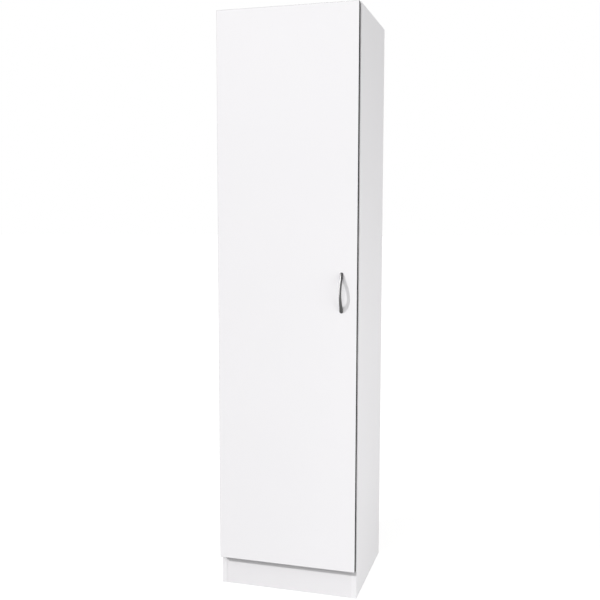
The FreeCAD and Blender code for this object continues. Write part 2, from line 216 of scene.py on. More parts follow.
CHIP_DARK = (0.30, 0.195, 0.105)
CHIP_MID = (0.52, 0.375, 0.22)
CHIP_LIGHT = (0.70, 0.56, 0.37)
CHIP_ROUGH = 0.86
FLAKE_STRETCH = (0.55, 0.55, 1.0)
FLAKE_SCALE = 620.0

CHARCOAL_LOW = (0.012, 0.0122, 0.013)
CHARCOAL_HIGH = (0.022, 0.0224, 0.024)
CHARCOAL_ROUGH = 0.58
CHARCOAL_SPECULAR = 0.12
CHARCOAL_STRETCH = (1.0, 1.0, 0.15)

LACQUER = 0.3 * MM         # white layer on the room side of the hardboard
LACQUER_LOW = (0.80, 0.80, 0.79)
LACQUER_HIGH = (0.85, 0.85, 0.84)
LACQUER_ROUGH = 0.42
LACQUER_GRAIN = 0.12       # share of the fibre's height that shows through the lacquer
FIBRE_DARK = (0.16, 0.088, 0.042)
FIBRE_MID = (0.24, 0.142, 0.073)
FIBRE_LIGHT = (0.33, 0.205, 0.112)
FIBRE_ROUGHER = 0.38       # than the lacquer
FIBRE_STRETCH = (1.0, 1.0, 0.35)
SCREEN_SCALE = 210.0       # of the wire mesh that the board was pressed on

BEECH_DARK = (0.46, 0.30, 0.17)
BEECH_LIGHT = (0.66, 0.48, 0.30)
BEECH_ROUGH = 0.62
BEECH_STRETCH = (0.12, 1.0, 1.0)

METAL_TONES = (0.90, 1.07)
PLASTIC_TONES = (0.96, 1.0)
EVEN = (1.0, 1.0, 1.0)     # stretch of a cast or plated grain
BRUSHED = (1.0, 1.0, 0.02)     # grain drawn out up the piece
SOFTNESS = (4 * MM, 4 * MM, 4 * MM)    # how far light goes into clear plastic


def chipboard(start, place):
    """Pressed flakes: colour and height."""
    flat = stretched(start, place, FLAKE_STRETCH)
    flakes = start.node("ShaderNodeTexVoronoi", {"feature": "F1"},
                        {"Vector": flat, "Scale": FLAKE_SCALE, "Randomness": 1.0}, out="Color")
    pick = start.node("ShaderNodeSeparateColor", None, {0: flakes})
    dust = noise(start, place, scale=2600.0, detail=4.0, rough=0.7)
    tone = pick * 0.75 + dust * 0.35
    return ramp(start, tone, ((0.05, CHIP_DARK), (0.95, CHIP_LIGHT), (0.5, CHIP_MID))), tone


def bare_chipboard(start, place, node, thickness, banded):
    """1 where a board has neither foil nor edge band, else 0."""
    low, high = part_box(node)
    parts = [part_of(start, place, axis) for axis in range(3)]
    axis = AXES[thickness]
    bare = (parts[axis] > low[axis] + FACE_FOIL) * (parts[axis] < high[axis] - FACE_FOIL)
    for sign, letter in banded:
        axis = AXES[letter]
        if sign == "-":
            bare = bare * (parts[axis] > low[axis] + EDGE_FOIL)
        else:
            bare = bare * (parts[axis] < high[axis] - EDGE_FOIL)
    return bare


def board_material(node, thickness, banded, white):
    """White melamine board: foil on both faces and the banded edges, bare chipboard elsewhere."""
    material, shader, start, place = new_material(node + "_board")
    bare = bare_chipboard(start, place, node, thickness, banded)
    cloud = noise(start, place, scale=3.1, detail=2.0)
    smear = noise(start, place, scale=17.0)
    grain = noise(start, place, scale=950.0, rough=0.6)
    speck = noise(start, place, scale=5200.0, detail=2.0)
    foil = mixed(start, cloud, *tones(white, FOIL_TONES))
    flakes, relief = chipboard(start, place)
    feed(mixed(start, bare, foil, flakes), shader, "Base Color")
    dulled = FOIL_ROUGH + 0.06 * smear + 0.05 * grain
    feed(dulled * (1 - bare) + CHIP_ROUGH * bare, shader, "Roughness")
    height = (grain * 0.7 + speck * 0.3) * (1 - bare) * FOIL_GRAIN + relief * bare
    bump(start, shader, height, strength=0.35, distance=0.22 * MM)
    shader.inputs["Specular IOR Level"].default_value = FOIL_SPECULAR
    return material


def edging_material():
    """Dark charcoal door edging, softly satin, with the fine grain of the strip."""
    material, shader, start, place = new_material("charcoal_edging")
    grain = noise(start, stretched(start, place, CHARCOAL_STRETCH), scale=2400.0, rough=0.6)
    cloud = noise(start, place, scale=9.0, detail=2.0)
    feed(mixed(start, grain * 0.6 + cloud * 0.4, CHARCOAL_LOW, CHARCOAL_HIGH), shader, "Base Color")
    feed(CHARCOAL_ROUGH + 0.16 * grain, shader, "Roughness")
    bump(start, shader, grain, strength=0.3, distance=0.1 * MM)
    shader.inputs["Specular IOR Level"].default_value = CHARCOAL_SPECULAR
    return material


def metal_material(name, colour, rough, spread, streak, relief, stretch=EVEN):
    """Metal with a fine grain, drawn into streaks along an axis with a small stretch."""
    material, shader, start, place = new_material(name)
    streaks = noise(start, stretched(start, place, stretch), scale=streak, detail=5.0, rough=0.62)
    cloud = noise(start, place, scale=55.0, rough=0.55)
    shade = mixed(start, streaks * 0.65 + cloud * 0.35, *tones(colour, METAL_TONES))
    feed(shade, shader, "Base Color")
    feed(rough - spread * 0.5 + spread * (0.7 * streaks + 0.3 * cloud), shader, "Roughness")
    bump(start, shader, streaks, strength=0.25, distance=relief)
    shader.inputs["Metallic"].default_value = 1.0
    return material


def moulded_material(name, colour, rough, see_through=0.0):
    """Moulded plastic or rubber with a fine spark-eroded texture."""
    material, shader, start, place = new_material(name)
    grain = noise(start, place, scale=3200.0, rough=0.6)
    cloud = noise(start, place, scale=40.0, detail=2.0)
    feed(mixed(start, cloud, *tones(colour, PLASTIC_TONES)), shader, "Base Color")
    feed(rough + 0.10 * grain, shader, "Roughness")
    bump(start, shader, grain, strength=0.25, distance=0.08 * MM)
    shader.inputs["Subsurface Weight"].default_value = see_through
    shader.inputs["Subsurface Radius"].default_value = SOFTNESS
    return material


def hardboard_material():
    """Back panel: white lacquer towards the inside, brown fibre with a screen pattern behind."""
    material, shader, start, place = new_material("hardboard_back")
    low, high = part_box("back_panel_lower")
    rear = part_of(start, place, AXES["y"]) > low.y + LACQUER
    fibre = noise(start, stretched(start, place, FIBRE_STRETCH), scale=900.0, detail=5.0, rough=0.7)
    screen = (bands(start, place, "X", SCREEN_SCALE) + bands(start, place, "Z", SCREEN_SCALE)) * 0.5
    cloud = noise(start, place, scale=6.0)
    brown = ramp(start, fibre * 0.55 + cloud * 0.45,
                 ((0.2, FIBRE_DARK), (0.8, FIBRE_LIGHT), (0.5, FIBRE_MID)))
    white = mixed(start, cloud, LACQUER_LOW, LACQUER_HIGH)
    feed(mixed(start, rear, white, brown), shader, "Base Color")
    feed(LACQUER_ROUGH + rear * FIBRE_ROUGHER + 0.05 * fibre, shader, "Roughness")
    height = rear * (screen * 0.8 + fibre * 0.4) + (1 - rear) * fibre * LACQUER_GRAIN
    bump(start, shader, height, strength=0.4, distance=0.25 * MM)
    return material


def beech_material():
    material, shader, start, place = new_material("beech_dowel")
    grain = noise(start, stretched(start, place, BEECH_STRETCH), scale=1500.0, detail=4.0, rough=0.6)
    feed(mixed(start, grain, BEECH_DARK, BEECH_LIGHT), shader, "Base Color")
    feed(BEECH_ROUGH + 0.2 * grain, shader, "Roughness")
    bump(start, shader, grain, strength=0.4, distance=0.1 * MM)
    return material


NICKEL = metal_material("nickel_plate", (0.63, 0.62, 0.60), rough=0.30, spread=0.12,
                        streak=420.0, relief=0.04 * MM)
ZINC = metal_material("cast_zinc", (0.50, 0.505, 0.51), rough=0.40, spread=0.16,
                      streak=260.0, relief=0.1 * MM)
# Painted reflection: the handle's base colour is made near black, so that the plated handle looks as
# dark as reflections of dark surroundings would make it.
HANDLE_METAL_PAINTED_DARK = metal_material("dark_satin_nickel", (0.098, 0.097, 0.098), rough=0.32, spread=0.14,
                              streak=2600.0, relief=0.03 * MM, stretch=BRUSHED)
MAGNET = metal_material("magnet_pole", (0.20, 0.20, 0.21), rough=0.45, spread=0.2,
                        streak=600.0, relief=0.1 * MM)
METALS = (NICKEL, ZINC, HANDLE_METAL_PAINTED_DARK, MAGNET)
WHITE_PLASTIC = moulded_material("white_plastic", (0.80, 0.80, 0.79), rough=0.40)
CLEAR_BUFFER = moulded_material("soft_buffer", (0.72, 0.72, 0.70), rough=0.22, see_through=0.4)
EDGING = edging_material()
HARDBOARD = hardboard_material()
BEECH = beech_material()

# each board's thin axis, and the edges that carry a white band
BOARDS = {
    "side_panel_left": ("x", ("-y", "+z")),
    "side_panel_right": ("x", ("-y", "+z")),
    "top_panel": ("z", ("-y",)),
    "bottom_panel": ("z", ("-y",)),
    "fixed_shelf": ("z", ("-y",)),
    "loose_shelf": ("z", ("-y", "-x", "+x")),
    "kick_board": ("y", ("-z",)),
    "plinth_rear_rail": ("y", ()),
    "wall_rail": ("y", ("-z",)),
    "door_panel": ("y", ())}
DOOR_BANDS = ("door_band_hinge_side", "door_band_handle_side", "door_band_top", "door_band_bottom")
FINISHES = {
    EDGING: DOOR_BANDS,
    HARDBOARD: ("back_panel_lower", "back_panel_upper"),
    WHITE_PLASTIC: ("back_joiner", "catch_body"),
    CLEAR_BUFFER: ("door_buffers",),
    BEECH: ("wood_dowels",),
    ZINC: ("cam_locks", "hinge_plates"),
    MAGNET: ("catch_magnet",),
    HANDLE_METAL_PAINTED_DARK: ("door_handle",),
    NICKEL: ("cam_bolts", "shelf_pins", "hinge_cups", "hinge_arms", "hinge_pins", "plate_screws",
             "arm_screws", "cup_screws", "handle_screws", "catch_screws", "strike_plate")}


def dress(node, material):
    slots = NODES[node].data.materials
    slots.clear()
    slots.append(material)


def dress_nodes():
    """Give every CAD node its finish."""
    for board, (thickness, banded) in BOARDS.items():
        # the kick board gets the darker white, a painted shade
        white = KICK_WHITE_SHADED if board == "kick_board" else WHITE
        dress(board, board_material(board, thickness, banded, white))
    for finish, nodes in FINISHES.items():
        for node in nodes:
            dress(node, finish)


# ---------------------------------------------------------------- pieces
SMOOTH_BELOW = 35.0        # degrees between faces, past which an edge stays sharp
SMOOTH_BELOW_ROUNDED = 50.0
FLAT_WITHIN = 1.0          # degrees between triangles of one flat face
LEVEL_DIGITS = 5           # of a metre, within which solids count as level


def add_piece(name, data, material, body, node):
    """Put a mesh in the scene, in place of a CAD node."""
    piece = bpy.data.objects.new(name, data)
    bpy.context.scene.collection.objects.link(piece)
    data.materials.clear()
    data.materials.append(material)
    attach(piece, body)
    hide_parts(node)


def smooth(data, angle=SMOOTH_BELOW):
    data.shade_smooth()
    data.set_sharp_from_angle(angle=math.radians(angle))


def joined(node):
    """A CAD node's loose triangles, with their shared points joined."""
    mesh = bmesh.new()
    mesh.from_mesh(NODES[node].data)
    bmesh.ops.remove_doubles(mesh, verts=mesh.verts, dist=WELD)
    return mesh


def flattened(mesh, angle):
    """Make one face of the triangles that lie flat within an angle in degrees."""
    bmesh.ops.dissolve_limit(mesh, angle_limit=math.radians(angle), verts=mesh.verts, edges=mesh.edges)


def mesh_data(mesh, name):
    data = bpy.data.meshes.new(name)
    mesh.to_mesh(data)
    mesh.free()
    return data


def solids(node):
    """Lowest and highest corner of each separate solid in a CAD node, from the floor up."""
    mesh = joined(node)
    left = set(mesh.verts)
    boxes = []
    while left:
        group, ahead = [], [left.pop()]
        while ahead:
            vert = ahead.pop()
            group.append(vert.co.copy())
            near = {edge.other_vert(vert) for edge in vert.link_edges} & left
            left -= near
            ahead.extend(near)
        low = Vector([min(co[i] for co in group) for i in range(3)])
        high = Vector([max(co[i] for co in group) for i in range(3)])
        boxes.append((low, high))
    mesh.free()

    def level(box):
        low = box[0]
        return tuple(round(part, LEVEL_DIGITS) for part in (low.z, low.y, low.x))

    return sorted(boxes, key=level)


def face_middle(box, side):
    """Middle of the face of a box on the given side."""
    low, high = box
    sign, letter = side
    axis = AXES[letter]
    point = (low + high) / 2
    point[axis] = high[axis] if sign == "+" else low[axis]
    return point


# ---------------------------------------------------------------- repeated fittings
class Recipe:
    """A Geometry Nodes tree that puts one turned fitting on every seat of a mesh."""

    def __init__(self, name, sizes):
        self.tree = bpy.data.node_groups.new(name, "GeometryNodeTree")
        face = self.tree.interface
        face.new_socket("Seats", in_out="INPUT", socket_type="NodeSocketGeometry")
        for size in sizes:
            face.new_socket(size, in_out="INPUT", socket_type="NodeSocketFloat")
        face.new_socket("Seed", in_out="INPUT", socket_type="NodeSocketInt")
        face.new_socket("Finish", in_out="INPUT", socket_type="NodeSocketMaterial")
        face.new_socket("Fittings", in_out="OUTPUT", socket_type="NodeSocketGeometry")
        self.given = self.tree.nodes.new("NodeGroupInput")
        self.start = Wire(self.tree)

    def __getitem__(self, name):
        return Wire(self.tree, self.given.outputs[name])

    def vector(self, x=0.0, y=0.0, z=0.0):
        return self.start.node("ShaderNodeCombineXYZ", None, {0: x, 1: y, 2: z})

    def turned(self, base, length, radius_at, steps, sides):
        """Solid of revolution along Z; radius_at gives the radius from the share of the length."""
        line = self.start.node("GeometryNodeCurvePrimitiveLine", None,
                               {"Start": self.vector(z=base), "End": self.vector(z=base + length)})
        line = self.start.node("GeometryNodeResampleCurve", None, {"Curve": line, "Count": steps})
        ring = self.start.node("GeometryNodeCurvePrimitiveCircle", {"mode": "RADIUS"},
                               {"Resolution": sides, "Radius": 1.0})
        share = self.start.node("GeometryNodeSplineParameter", out="Factor")
        return self.start.node("GeometryNodeCurveToMesh", None,
                               {"Curve": line, "Profile Curve": ring, "Scale": radius_at(share),
                                "Fill Caps": True})

    def block(self, x, y, z, height):
        cube = self.start.node("GeometryNodeMeshCube", None, {"Size": self.vector(x, y, z)})
        return self.start.node("GeometryNodeTransform", None,
                               {"Geometry": cube, "Translation": self.vector(z=height)})

    def cross(self, arm, slot, depth, height):
        """Two crossed blocks, to be cut out of a head."""
        return [self.block(arm, slot, depth, height), self.block(slot, arm, depth, height)]

    def minus(self, body, tools):
        return self.start.node("GeometryNodeMeshBoolean", {"operation": "DIFFERENCE", "solver": "EXACT"},
                               {"Mesh 1": body, "Mesh 2": tools})

    def finish(self, parts):
        """Set the fitting on each seat, along its axis and at a turn of its own."""
        fitting = self.start.node("GeometryNodeJoinGeometry", None, {0: parts})
        axis = self.start.node("GeometryNodeInputNamedAttribute", {"data_type": "FLOAT_VECTOR"},
                               {"Name": "axis"})
        upright = self.start.node("FunctionNodeAlignRotationToVector", {"axis": "Z"}, {"Vector": axis})
        turn = self.start.node("FunctionNodeRandomValue", {"data_type": "FLOAT"},
                               {RANDOM_LOW: 0.0, RANDOM_HIGH: math.pi, "Seed": self["Seed"]},
                               out=RANDOM_RESULT)
        spin = self.start.node("FunctionNodeAxisAngleToRotation", None,
                               {"Axis": (0.0, 0.0, 1.0), "Angle": turn})
        set_out = self.start.node("FunctionNodeRotateRotation", {"rotation_space": "LOCAL"},
                                  {0: upright, 1: spin})
        rows = self.start.node("GeometryNodeInstanceOnPoints", None,
                               {"Points": self["Seats"], "Instance": fitting, "Rotation": set_out})
        real = self.start.node("GeometryNodeRealizeInstances", None, {"Geometry": rows})
        coated = self.start.node("GeometryNodeSetMaterial", None,
                                 {"Geometry": real, "Material": self["Finish"]})
        end = self.tree.nodes.new("NodeGroupOutput")
        self.tree.links.new(coated.socket, end.inputs["Fittings"])
        return self.tree


def seat_mesh(name, seats):
    """Mesh of loose points, each with the axis that its fitting points along."""
    data = bpy.data.meshes.new(name)
    data.from_pydata([point for point, axis in seats], [], [])
    axes = data.attributes.new("axis", "FLOAT_VECTOR", "POINT")
    for slot, (point, axis) in zip(axes.data, seats):
        slot.vector = axis
    return data


def grow(name, tree, seats, finish, seed, sizes):
    """Run a tree on its seats and keep the result as a plain mesh."""
    rows = bpy.data.objects.new(name + "_seats", seat_mesh(name + "_seats", seats))
    bpy.context.scene.collection.objects.link(rows)
    modifier = rows.modifiers.new(name, "NODES")
    modifier.node_group = tree
    given = dict(sizes, Seed=seed, Finish=finish)
    for socket in tree.interface.items_tree:
        if socket.in_out == "INPUT" and socket.name in given:
            modifier[socket.identifier] = given[socket.name]
    graph = bpy.context.evaluated_depsgraph_get()
    data = bpy.data.meshes.new_from_object(rows.evaluated_get(graph), depsgraph=graph)
    rows.modifiers.remove(modifier)
    bpy.data.objects.remove(rows)
    data.name = name
    smooth(data)
    return data


# body, way that the head faces, then head radius, head height and shank radius in mm
SCREWS = {
    "plate_screws": ("carcass", "+x", 4.2, 1.8, 2.4),
    "arm_screws": ("carcass", "+x", 4.0, 2.2, 1.9),
    "catch_screws": ("carcass", "-x", 3.5, 1.8, 1.7),
    "cup_screws": ("door", "+y", 3.6, 1.4, 1.8),
    "handle_screws": ("door", "+y", 4.0, 2.2, 1.9)}
CROSS_WIDTH = 0.2          # share of the head's radius
TIP_START = 0.45           # share of the shank's radius at its tip
TIPS_IN_SHANK = 6.0        # the shank is this many times as long as its tip

CAM = {"Radius": 7.0 * MM, "Depth": 12.3 * MM, "Rim Radius": 8.3 * MM, "Rim Height": 0.45 * MM}
CAM_SINK = 0.05 * MM
CAM_SEED = 11
CAM_BODY = 0.94            # share of the radius, so that the body clears its bore
CAM_ARM, CAM_SLOT = 1.06, 0.18    # cross slot's length and width, as shares of the radius
CAM_DIP = 9.0              # height of the cross's blocks, in rim heights

PIN = {"Radius": 2.45 * MM, "Reach": 7.0 * MM, "Rooted": 9.0 * MM, "Collar Radius": 3.6 * MM,
       "Collar": 0.8 * MM}
PIN_SEED = 12
BUFFER_SEED = 13

# how a radius narrows towards an end: the share that it loses, and the power of its curve
HEAD_CROWN = (0.42, 3.0)
RIM_CHAMFER = (0.06, 2.0)
PIN_END = (0.35, 14.0)
COLLAR_CHAMFER = (0.1, 2.0)
BUFFER_CROWN = (0.62, 5.0)


def narrowing(radius, share, power):
    return lambda t: radius * (1 - share * t ** power)


def screw_recipe():
    """Pan head with a cross recess on a plain shank; the seat is the head's underside."""
    recipe = Recipe("pan_screw", ("Head Radius", "Head Height", "Shank Radius", "Shank Length"))
    wide, tall = recipe["Head Radius"], recipe["Head Height"]
    head = recipe.turned(0.0, tall, narrowing(wide, *HEAD_CROWN), steps=8, sides=32)
    cross = recipe.cross(wide, wide * CROSS_WIDTH, tall, tall)
    thin, length = recipe["Shank Radius"], recipe["Shank Length"]

    def tapered(t):
        return thin * (TIP_START + (1 - TIP_START) * (t * TIPS_IN_SHANK).capped())

    shank = recipe.turned(-length, length, tapered, steps=13, sides=20)
    return recipe.finish([recipe.minus(head, cross), shank])


def cam_recipe():
    """Cast cam with a thin rim and a cross slot; the seat is the board's face."""
    recipe = Recipe("cam_lock", tuple(CAM))
    wide, deep, rim = recipe["Radius"], recipe["Depth"], recipe["Rim Height"]
    body = recipe.turned(-deep, deep, lambda t: wide * CAM_BODY, steps=2, sides=36)
    collar = recipe.turned(0.0, rim, narrowing(recipe["Rim Radius"], *RIM_CHAMFER), steps=5, sides=48)
    cross = recipe.cross(wide * CAM_ARM, wide * CAM_SLOT, rim * CAM_DIP, 0.0)
    return recipe.finish([body, recipe.minus(collar, cross)])


def pin_recipe():
    """Shelf pin: round-ended pin with a collar; the seat is the side panel's face."""
    recipe = Recipe("shelf_pin", tuple(PIN))
    wide, rooted = recipe["Radius"], recipe["Rooted"]
    pin = recipe.turned(-rooted, rooted + recipe["Reach"], narrowing(wide, *PIN_END), steps=28, sides=28)
    collar = recipe.turned(0.0, recipe["Collar"], narrowing(recipe["Collar Radius"], *COLLAR_CHAMFER),
                           steps=4, sides=32)
    return recipe.finish([pin, collar])


def buffer_recipe():
    """Soft stop with a crowned face; the seat is the door's back."""
    recipe = Recipe("buffer", ("Radius", "Height"))
    dome = recipe.turned(0.0, recipe["Height"], narrowing(recipe["Radius"], *BUFFER_CROWN),
                         steps=18, sides=40)
    return recipe.finish([dome])


def seat_on(box, side, sink):
    """A seat just under one face of a solid, with its axis out of that face."""
    return face_middle(box, side) - Vector(DIRECTIONS[side]) * sink, DIRECTIONS[side]


def add_screws():
    """Turned screws, as long as the CAD's, each with its head where the CAD has it."""
    tree = screw_recipe()
    for seed, (node, row) in enumerate(SCREWS.items()):
        body, side, head_radius, head, shank_radius = row
        boxes = solids(node)
        low, high = boxes[0]
        length = (high - low)[AXES[side[1]]] - head * MM
        seats = [seat_on(box, side, head * MM) for box in boxes]
        made = grow(node + "_turned", tree, seats, NICKEL, seed, {
            "Head Radius": head_radius * MM, "Head Height": head * MM,
            "Shank Radius": shank_radius * MM, "Shank Length": length})
        add_piece(node + "_turned", made, NICKEL, body, node)


def lock_side(box):
    """The face that a cam opens to: the thin way of its box, down or away from the nearer wall."""
    low, high = box
    size = high - low
    if size.z < size.y:
        return "-z"
    return "+y" if low.y < 0 else "-y"


def add_cams():
    """Cam fittings, each just under the face of its board."""
    seats = [seat_on(box, lock_side(box), CAM_SINK) for box in solids("cam_locks")]
    made = grow("cam_locks_cast", cam_recipe(), seats, ZINC, CAM_SEED, CAM)
    add_piece("cam_locks_cast", made, ZINC, "carcass", "cam_locks")


def add_shelf_pins():
    """Pins of the loose shelf, each with its collar against the side panel."""
    seats = []
    for box in solids("shelf_pins"):
        inward, wall = ("+x", "-x") if box[0].x < 0 else ("-x", "+x")
        seats.append((face_middle(box, wall) + Vector(DIRECTIONS[inward]) * PIN["Rooted"],
                      DIRECTIONS[inward]))
    made = grow("shelf_pins_turned", pin_recipe(), seats, NICKEL, PIN_SEED, PIN)
    add_piece("shelf_pins_turned", made, NICKEL, "carcass", "shelf_pins")


def add_buffers():
    """Soft stops on the door's back."""
    boxes = solids("door_buffers")
    low, high = boxes[0]
    seats = [(face_middle(box, "-y"), DIRECTIONS["+y"]) for box in boxes]
    made = grow("door_buffers_domed", buffer_recipe(), seats, CLEAR_BUFFER, BUFFER_SEED, {
        "Radius": (high - low).x / 2, "Height": (high - low).y})
    add_piece("door_buffers_domed", made, CLEAR_BUFFER, "door", "door_buffers")


# ---------------------------------------------------------------- rounded edges
ROUND_ABOVE = 50.0         # degrees between faces, from which an edge is rounded
ON_WALL = 0.02 * MM        # how near to a box's wall counts as on it

# radius of the edges in mm, finish, body, slot
EASED = {
    "hinge_arms": (0.25, NICKEL, "carcass", "bright_steel"),
    "hinge_plates": (0.3, ZINC, "carcass", "zinc"),
    "catch_body": (0.6, WHITE_PLASTIC, "carcass", "white_plastic"),
    "catch_magnet": (0.2, MAGNET, "carcass", "magnet"),
    "strike_plate": (0.3, NICKEL, "door", "bright_steel"),
    "back_joiner": (0.25, WHITE_PLASTIC, "carcass", "white_plastic")}
BOARD_EDGE = 0.4 * MM      # radius of a board's outer edges
DOOR_EDGE = 0.25 * MM
EDGE_STEPS = 3


def welded(node):
    """Copy of a CAD node's mesh with its loose triangles joined into flat faces."""
    mesh = joined(node)
    flattened(mesh, FLAT_WITHIN)
    return mesh_data(mesh, node + "_eased")


def with_modifier(data, kind, settings):
    """The mesh that one modifier makes of another."""
    shape = bpy.data.objects.new(data.name, data)
    bpy.context.scene.collection.objects.link(shape)
    modifier = shape.modifiers.new(kind, kind)
    for key, value in settings.items():
        setattr(modifier, key, value)
    graph = bpy.context.evaluated_depsgraph_get()
    done = bpy.data.meshes.new_from_object(shape.evaluated_get(graph), depsgraph=graph)
    bpy.data.objects.remove(shape)
    return done


def rounded(data, radius, steps=2):
    """The same shape with its sharp edges rounded and its flat faces kept flat in the light."""
    done = with_modifier(data, "BEVEL", {
        "width": radius, "segments": steps, "limit_method": "ANGLE", "use_clamp_overlap": False,
        "angle_limit": math.radians(ROUND_ABOVE)})
    smooth(done, SMOOTH_BELOW_ROUNDED)
    return with_modifier(done, "WEIGHTED_NORMAL", {"keep_sharp": True})


def corners_broken(data, low, high, radius):
    """The same shape, with the edges that run along the outer corners of a box rounded."""
    marks = data.attributes.new("bevel_weight_edge", "FLOAT", "EDGE")
    for edge, mark in zip(data.edges, marks.data):
        ends = [data.vertices[i].co for i in edge.vertices]
        walls = [axis for axis in range(3) for wall in (low, high)
                 if all(abs(end[axis] - wall[axis]) < ON_WALL for end in ends)]
        mark.value = float(len(walls) == 2)
    return with_modifier(data, "BEVEL",
                         {"width": radius, "segments": EDGE_STEPS, "limit_method": "WEIGHT"})


def add_eased_fittings():
    for node, (radius, finish, body, slot) in EASED.items():
        add_piece(node + "_eased", rounded(welded(node), radius * MM), finish, body, node)


def add_eased_boards():
    """The carcass boards; the door's own edges lie under its bands."""
    for board in BOARDS:
        if board != "door_panel":
            eased = corners_broken(welded(board), *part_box(board), BOARD_EDGE)
            finish = NODES[board].data.materials[0]
            add_piece(board + "_eased", eased, finish, "carcass", board)


def add_eased_bands():
    """The door's four bands, rounded where they meet the door's outer corners."""
    boxes = [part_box(band) for band in DOOR_BANDS]
    low = Vector([min(box[0][i] for box in boxes) for i in range(3)])
    high = Vector([max(box[1][i] for box in boxes) for i in range(3)])
    for band in DOOR_BANDS:
        eased = corners_broken(welded(band), low, high, DOOR_EDGE)
        add_piece(band + "_eased", eased, EDGING, "door", band)


# ---------------------------------------------------------------- pressed hinge cups
# Sizes in mm from the middle of a cup's mouth: x away from the door's edge, y out of the door's
# back, z up the door.
CUP_OUTER, CUP_INNER = 17.5, 16.7    # radii of the wall
CUP_DEPTH, CUP_FLOOR = 12.5, 0.6
CUP_BEND = 2.6                       # round between the wall and the floor
CUP_FLANGE = 1.2
CUP_RIM, CUP_RIM_CUT = 19.0, -15.5   # the flange's round rim, and where the door's edge cuts it
CUP_SIDES = 64
CUP_HOLE, CUP_HOLE_X, CUP_HOLE_Z = 1.9, 9.5, 22.5    # a screw hole's radius and place
# the flange's wings: nearer and farther side, half length, corner
WING_NEAR, WING_FAR, WING_TALL, WING_CORNER = 3.0, 16.0, 29.0, 3.5
# the cheeks that hold the pin, with the arm between them
CHEEK_LEFT, CHEEK_RIGHT, CHEEK_FOOT, CHEEK_TOP, CHEEK_CORNER = -15.9, -9.4, -12.2, -6.3, 2.6
CHEEK_NEAR, CHEEK_THICK = 5.6, 1.4
CORNER_STEPS, RIM_STEPS, HOLE_SIDES = 6, 14, 20
CUP_ROUNDING, CUP_ROUNDING_STEPS = 0.28 * MM, 3
CUP_FLAT_WITHIN = 0.5                # degrees between triangles of one flat face


def arc(radius, first, last, steps, middle=(0.0, 0.0)):
    """Points of an arc, with its angles in degrees."""
    turns = [math.radians(first + (last - first) * i / steps) for i in range(steps + 1)]
    return [(middle[0] + radius * math.cos(a), middle[1] + radius * math.sin(a)) for a in turns]


def circle(radius, sides, middle=(0.0, 0.0)):
    return arc(radius, 0, 360, sides, middle)[:-1]


def degrees_at(share):
    """Angle whose cosine is given."""
    return math.degrees(math.acos(share))


def sheet(mesh, outline, holes, place, thick):
    """Flat sheet with holes; place turns a point of its plane and a height into a point in space."""
    loops = [outline] + holes
    flat = [point for loop in loops for point in loop]
    low = [mesh.verts.new(place(*point, 0.0)) for point in flat]
    high = [mesh.verts.new(place(*point, thick)) for point in flat]
    for a, b, c in tessellate_polygon([[Vector((*point, 0.0)) for point in loop] for loop in loops]):
        mesh.faces.new((low[a], low[b], low[c]))
        mesh.faces.new((high[c], high[b], high[a]))
    start = 0
    for loop in loops:
        count = len(loop)
        for i in range(count):
            a, b = start + i, start + (i + 1) % count
            mesh.faces.new((low[a], low[b], high[b], high[a]))
        start += count


def shell(mesh, profile, place, sides):
    """Closed shell turned from (radius, height) points that start and end on its axis."""
    rings = []
    for radius, height in profile:
        if radius == 0.0:
            rings.append([mesh.verts.new(place(0.0, 0.0, height))] * sides)
        else:
            rings.append([mesh.verts.new(place(*point, height)) for point in circle(radius, sides)])
    for one, two in zip(rings, rings[1:]):
        for k in range(sides):
            n = (k + 1) % sides
            mesh.faces.new(list(dict.fromkeys([one[k], one[n], two[n], two[k]])))


def cup_outline():
    """Outline of the flange: a round rim left open by the door's edge, with a wing up and down."""
    start = math.degrees(math.asin(math.sqrt(CUP_RIM ** 2 - WING_FAR ** 2) / CUP_RIM))
    wing_end = degrees_at(WING_NEAR / CUP_RIM)
    cut, mouth = degrees_at(CUP_RIM_CUT / CUP_RIM), degrees_at(CUP_RIM_CUT / CUP_INNER)
    high = WING_TALL - WING_CORNER
    upper = (arc(WING_CORNER, 0, 90, CORNER_STEPS, (WING_FAR - WING_CORNER, high))
             + arc(WING_CORNER, 90, 180, CORNER_STEPS, (WING_NEAR + WING_CORNER, high))
             + arc(CUP_RIM, wing_end, cut, RIM_STEPS))
    lower = [(x, -z) for x, z in reversed(upper)]
    return (upper + arc(CUP_INNER, mouth, -mouth, CUP_SIDES) + lower
            + arc(CUP_RIM, -start, start, RIM_STEPS))


def cup_profile():
    """Half section of the cup's wall and floor, from the inside to the outside."""
    inner = arc(CUP_BEND - CUP_FLOOR, -90, 0, CORNER_STEPS,
                (CUP_INNER - CUP_BEND + CUP_FLOOR, CUP_BEND - CUP_DEPTH))
    outer = arc(CUP_BEND, 0, -90, CORNER_STEPS, (CUP_OUTER - CUP_BEND, CUP_BEND - CUP_DEPTH))
    return ([(0.0, CUP_FLOOR - CUP_DEPTH)] + inner + [(CUP_INNER, 0.0), (CUP_OUTER, 0.0)] + outer
            + [(0.0, -CUP_DEPTH)])


def cheek_outline():
    """Side view of the wall that holds one end of the pin."""
    return ([(CHEEK_LEFT, CHEEK_FOOT), (CHEEK_RIGHT, CHEEK_FOOT)]
            + arc(CHEEK_CORNER, 0, 90, CORNER_STEPS,
                  (CHEEK_RIGHT - CHEEK_CORNER, CHEEK_TOP - CHEEK_CORNER))
            + [(CHEEK_LEFT, CHEEK_TOP)])


